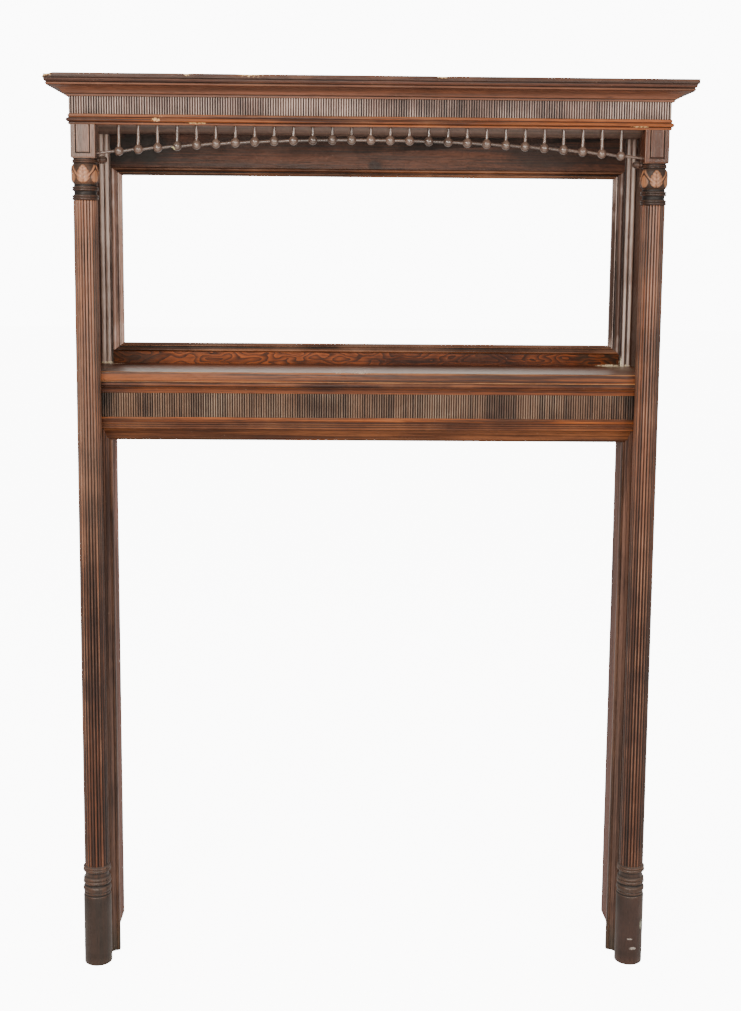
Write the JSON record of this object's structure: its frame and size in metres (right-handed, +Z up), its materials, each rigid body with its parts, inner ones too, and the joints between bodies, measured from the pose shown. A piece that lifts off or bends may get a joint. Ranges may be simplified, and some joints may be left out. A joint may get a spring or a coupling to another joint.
{
  "type": "fireplace mantel",
  "caption": "Tall oak fire surround with slim reeded columns, a moulded cornice, a shelf, an empty mirror frame and a ball-and-stick gallery.",
  "frame": {"origin": "on the floor, midway across the width and the depth", "axes": "+Z up, -Y towards the room, +Y towards the wall, +X to the viewer's right"},
  "size_m": [1.536, 0.385, 2.22],
  "materials": {
    "crown_front": "dark stained oak, aged and dusty",
    "crown_return_left": "dark stained oak, aged and dusty",
    "crown_return_right": "dark stained oak, aged and dusty",
    "astragal_front": "dark stained oak, aged and dusty",
    "astragal_return_left": "dark stained oak, aged and dusty",
    "astragal_return_right": "dark stained oak, aged and dusty",
    "cornice_top_board": "dark stained oak, aged and dusty",
    "upper_frieze": "dark stained oak, aged and dusty",
    "frieze_return_left": "dark stained oak, aged and dusty",
    "frieze_return_right": "dark stained oak, aged and dusty",
    "soffit_board": "dark stained oak, aged and dusty",
    "top_rail": "dark stained oak, aged and dusty",
    "bottom_rail": "dark stained oak, aged and dusty",
    "reeded_stile_left": "dark stained oak, aged and dusty",
    "reeded_stile_right": "dark stained oak, aged and dusty",
    "mirror_moulding_top": "dark stained oak, aged and dusty",
    "mirror_moulding_bottom": "dark stained oak, aged and dusty",
    "mirror_moulding_left": "dark stained oak, aged and dusty",
    "mirror_moulding_right": "dark stained oak, aged and dusty",
    "shelf": "dark stained oak, aged and dusty",
    "bed_moulding": "dark stained oak, aged and dusty",
    "lower_frieze": "dark stained oak, aged and dusty",
    "lintel_board": "dark stained oak, aged and dusty",
    "opening_moulding_top": "dark stained oak, aged and dusty",
    "opening_moulding_left": "dark stained oak, aged and dusty",
    "opening_moulding_right": "dark stained oak, aged and dusty",
    "leg_board_left": "dark stained oak, aged and dusty",
    "leg_board_right": "dark stained oak, aged and dusty",
    "jamb_return_left": "dark stained oak, aged and dusty",
    "jamb_return_right": "dark stained oak, aged and dusty",
    "side_board_left": "dark stained oak, aged and dusty",
    "side_board_right": "dark stained oak, aged and dusty",
    "column_left": "dark stained oak, aged and dusty",
    "column_right": "dark stained oak, aged and dusty",
    "gallery": "dark stained oak, aged and dusty",
    "gallery_boss_left": "dark stained oak, aged and dusty",
    "gallery_boss_right": "dark stained oak, aged and dusty"
  },
  "bodies": {
    "root": {"crown_front": "crown_front", "crown_return_left": "crown_return_left", "crown_return_right": "crown_return_right", "astragal_front": "astragal_front", "astragal_return_left": "astragal_return_left", "astragal_return_right": "astragal_return_right", "cornice_top_board": "cornice_top_board", "upper_frieze": "upper_frieze", "frieze_return_left": "frieze_return_left", "frieze_return_right": "frieze_return_right", "soffit_board": "soffit_board", "top_rail": "top_rail", "bottom_rail": "bottom_rail", "reeded_stile_left": "reeded_stile_left", "reeded_stile_right": "reeded_stile_right", "mirror_moulding_top": "mirror_moulding_top", "mirror_moulding_bottom": "mirror_moulding_bottom", "mirror_moulding_left": "mirror_moulding_left", "mirror_moulding_right": "mirror_moulding_right", "shelf": "shelf", "bed_moulding": "bed_moulding", "lower_frieze": "lower_frieze", "lintel_board": "lintel_board", "opening_moulding_top": "opening_moulding_top", "opening_moulding_left": "opening_moulding_left", "opening_moulding_right": "opening_moulding_right", "leg_board_left": "leg_board_left", "leg_board_right": "leg_board_right", "jamb_return_left": "jamb_return_left", "jamb_return_right": "jamb_return_right", "side_board_left": "side_board_left", "side_board_right": "side_board_right", "column_left": "column_left", "column_right": "column_right", "gallery": "gallery", "gallery_boss_left": "gallery_boss_left", "gallery_boss_right": "gallery_boss_right"}
  },
  "joints": []
}
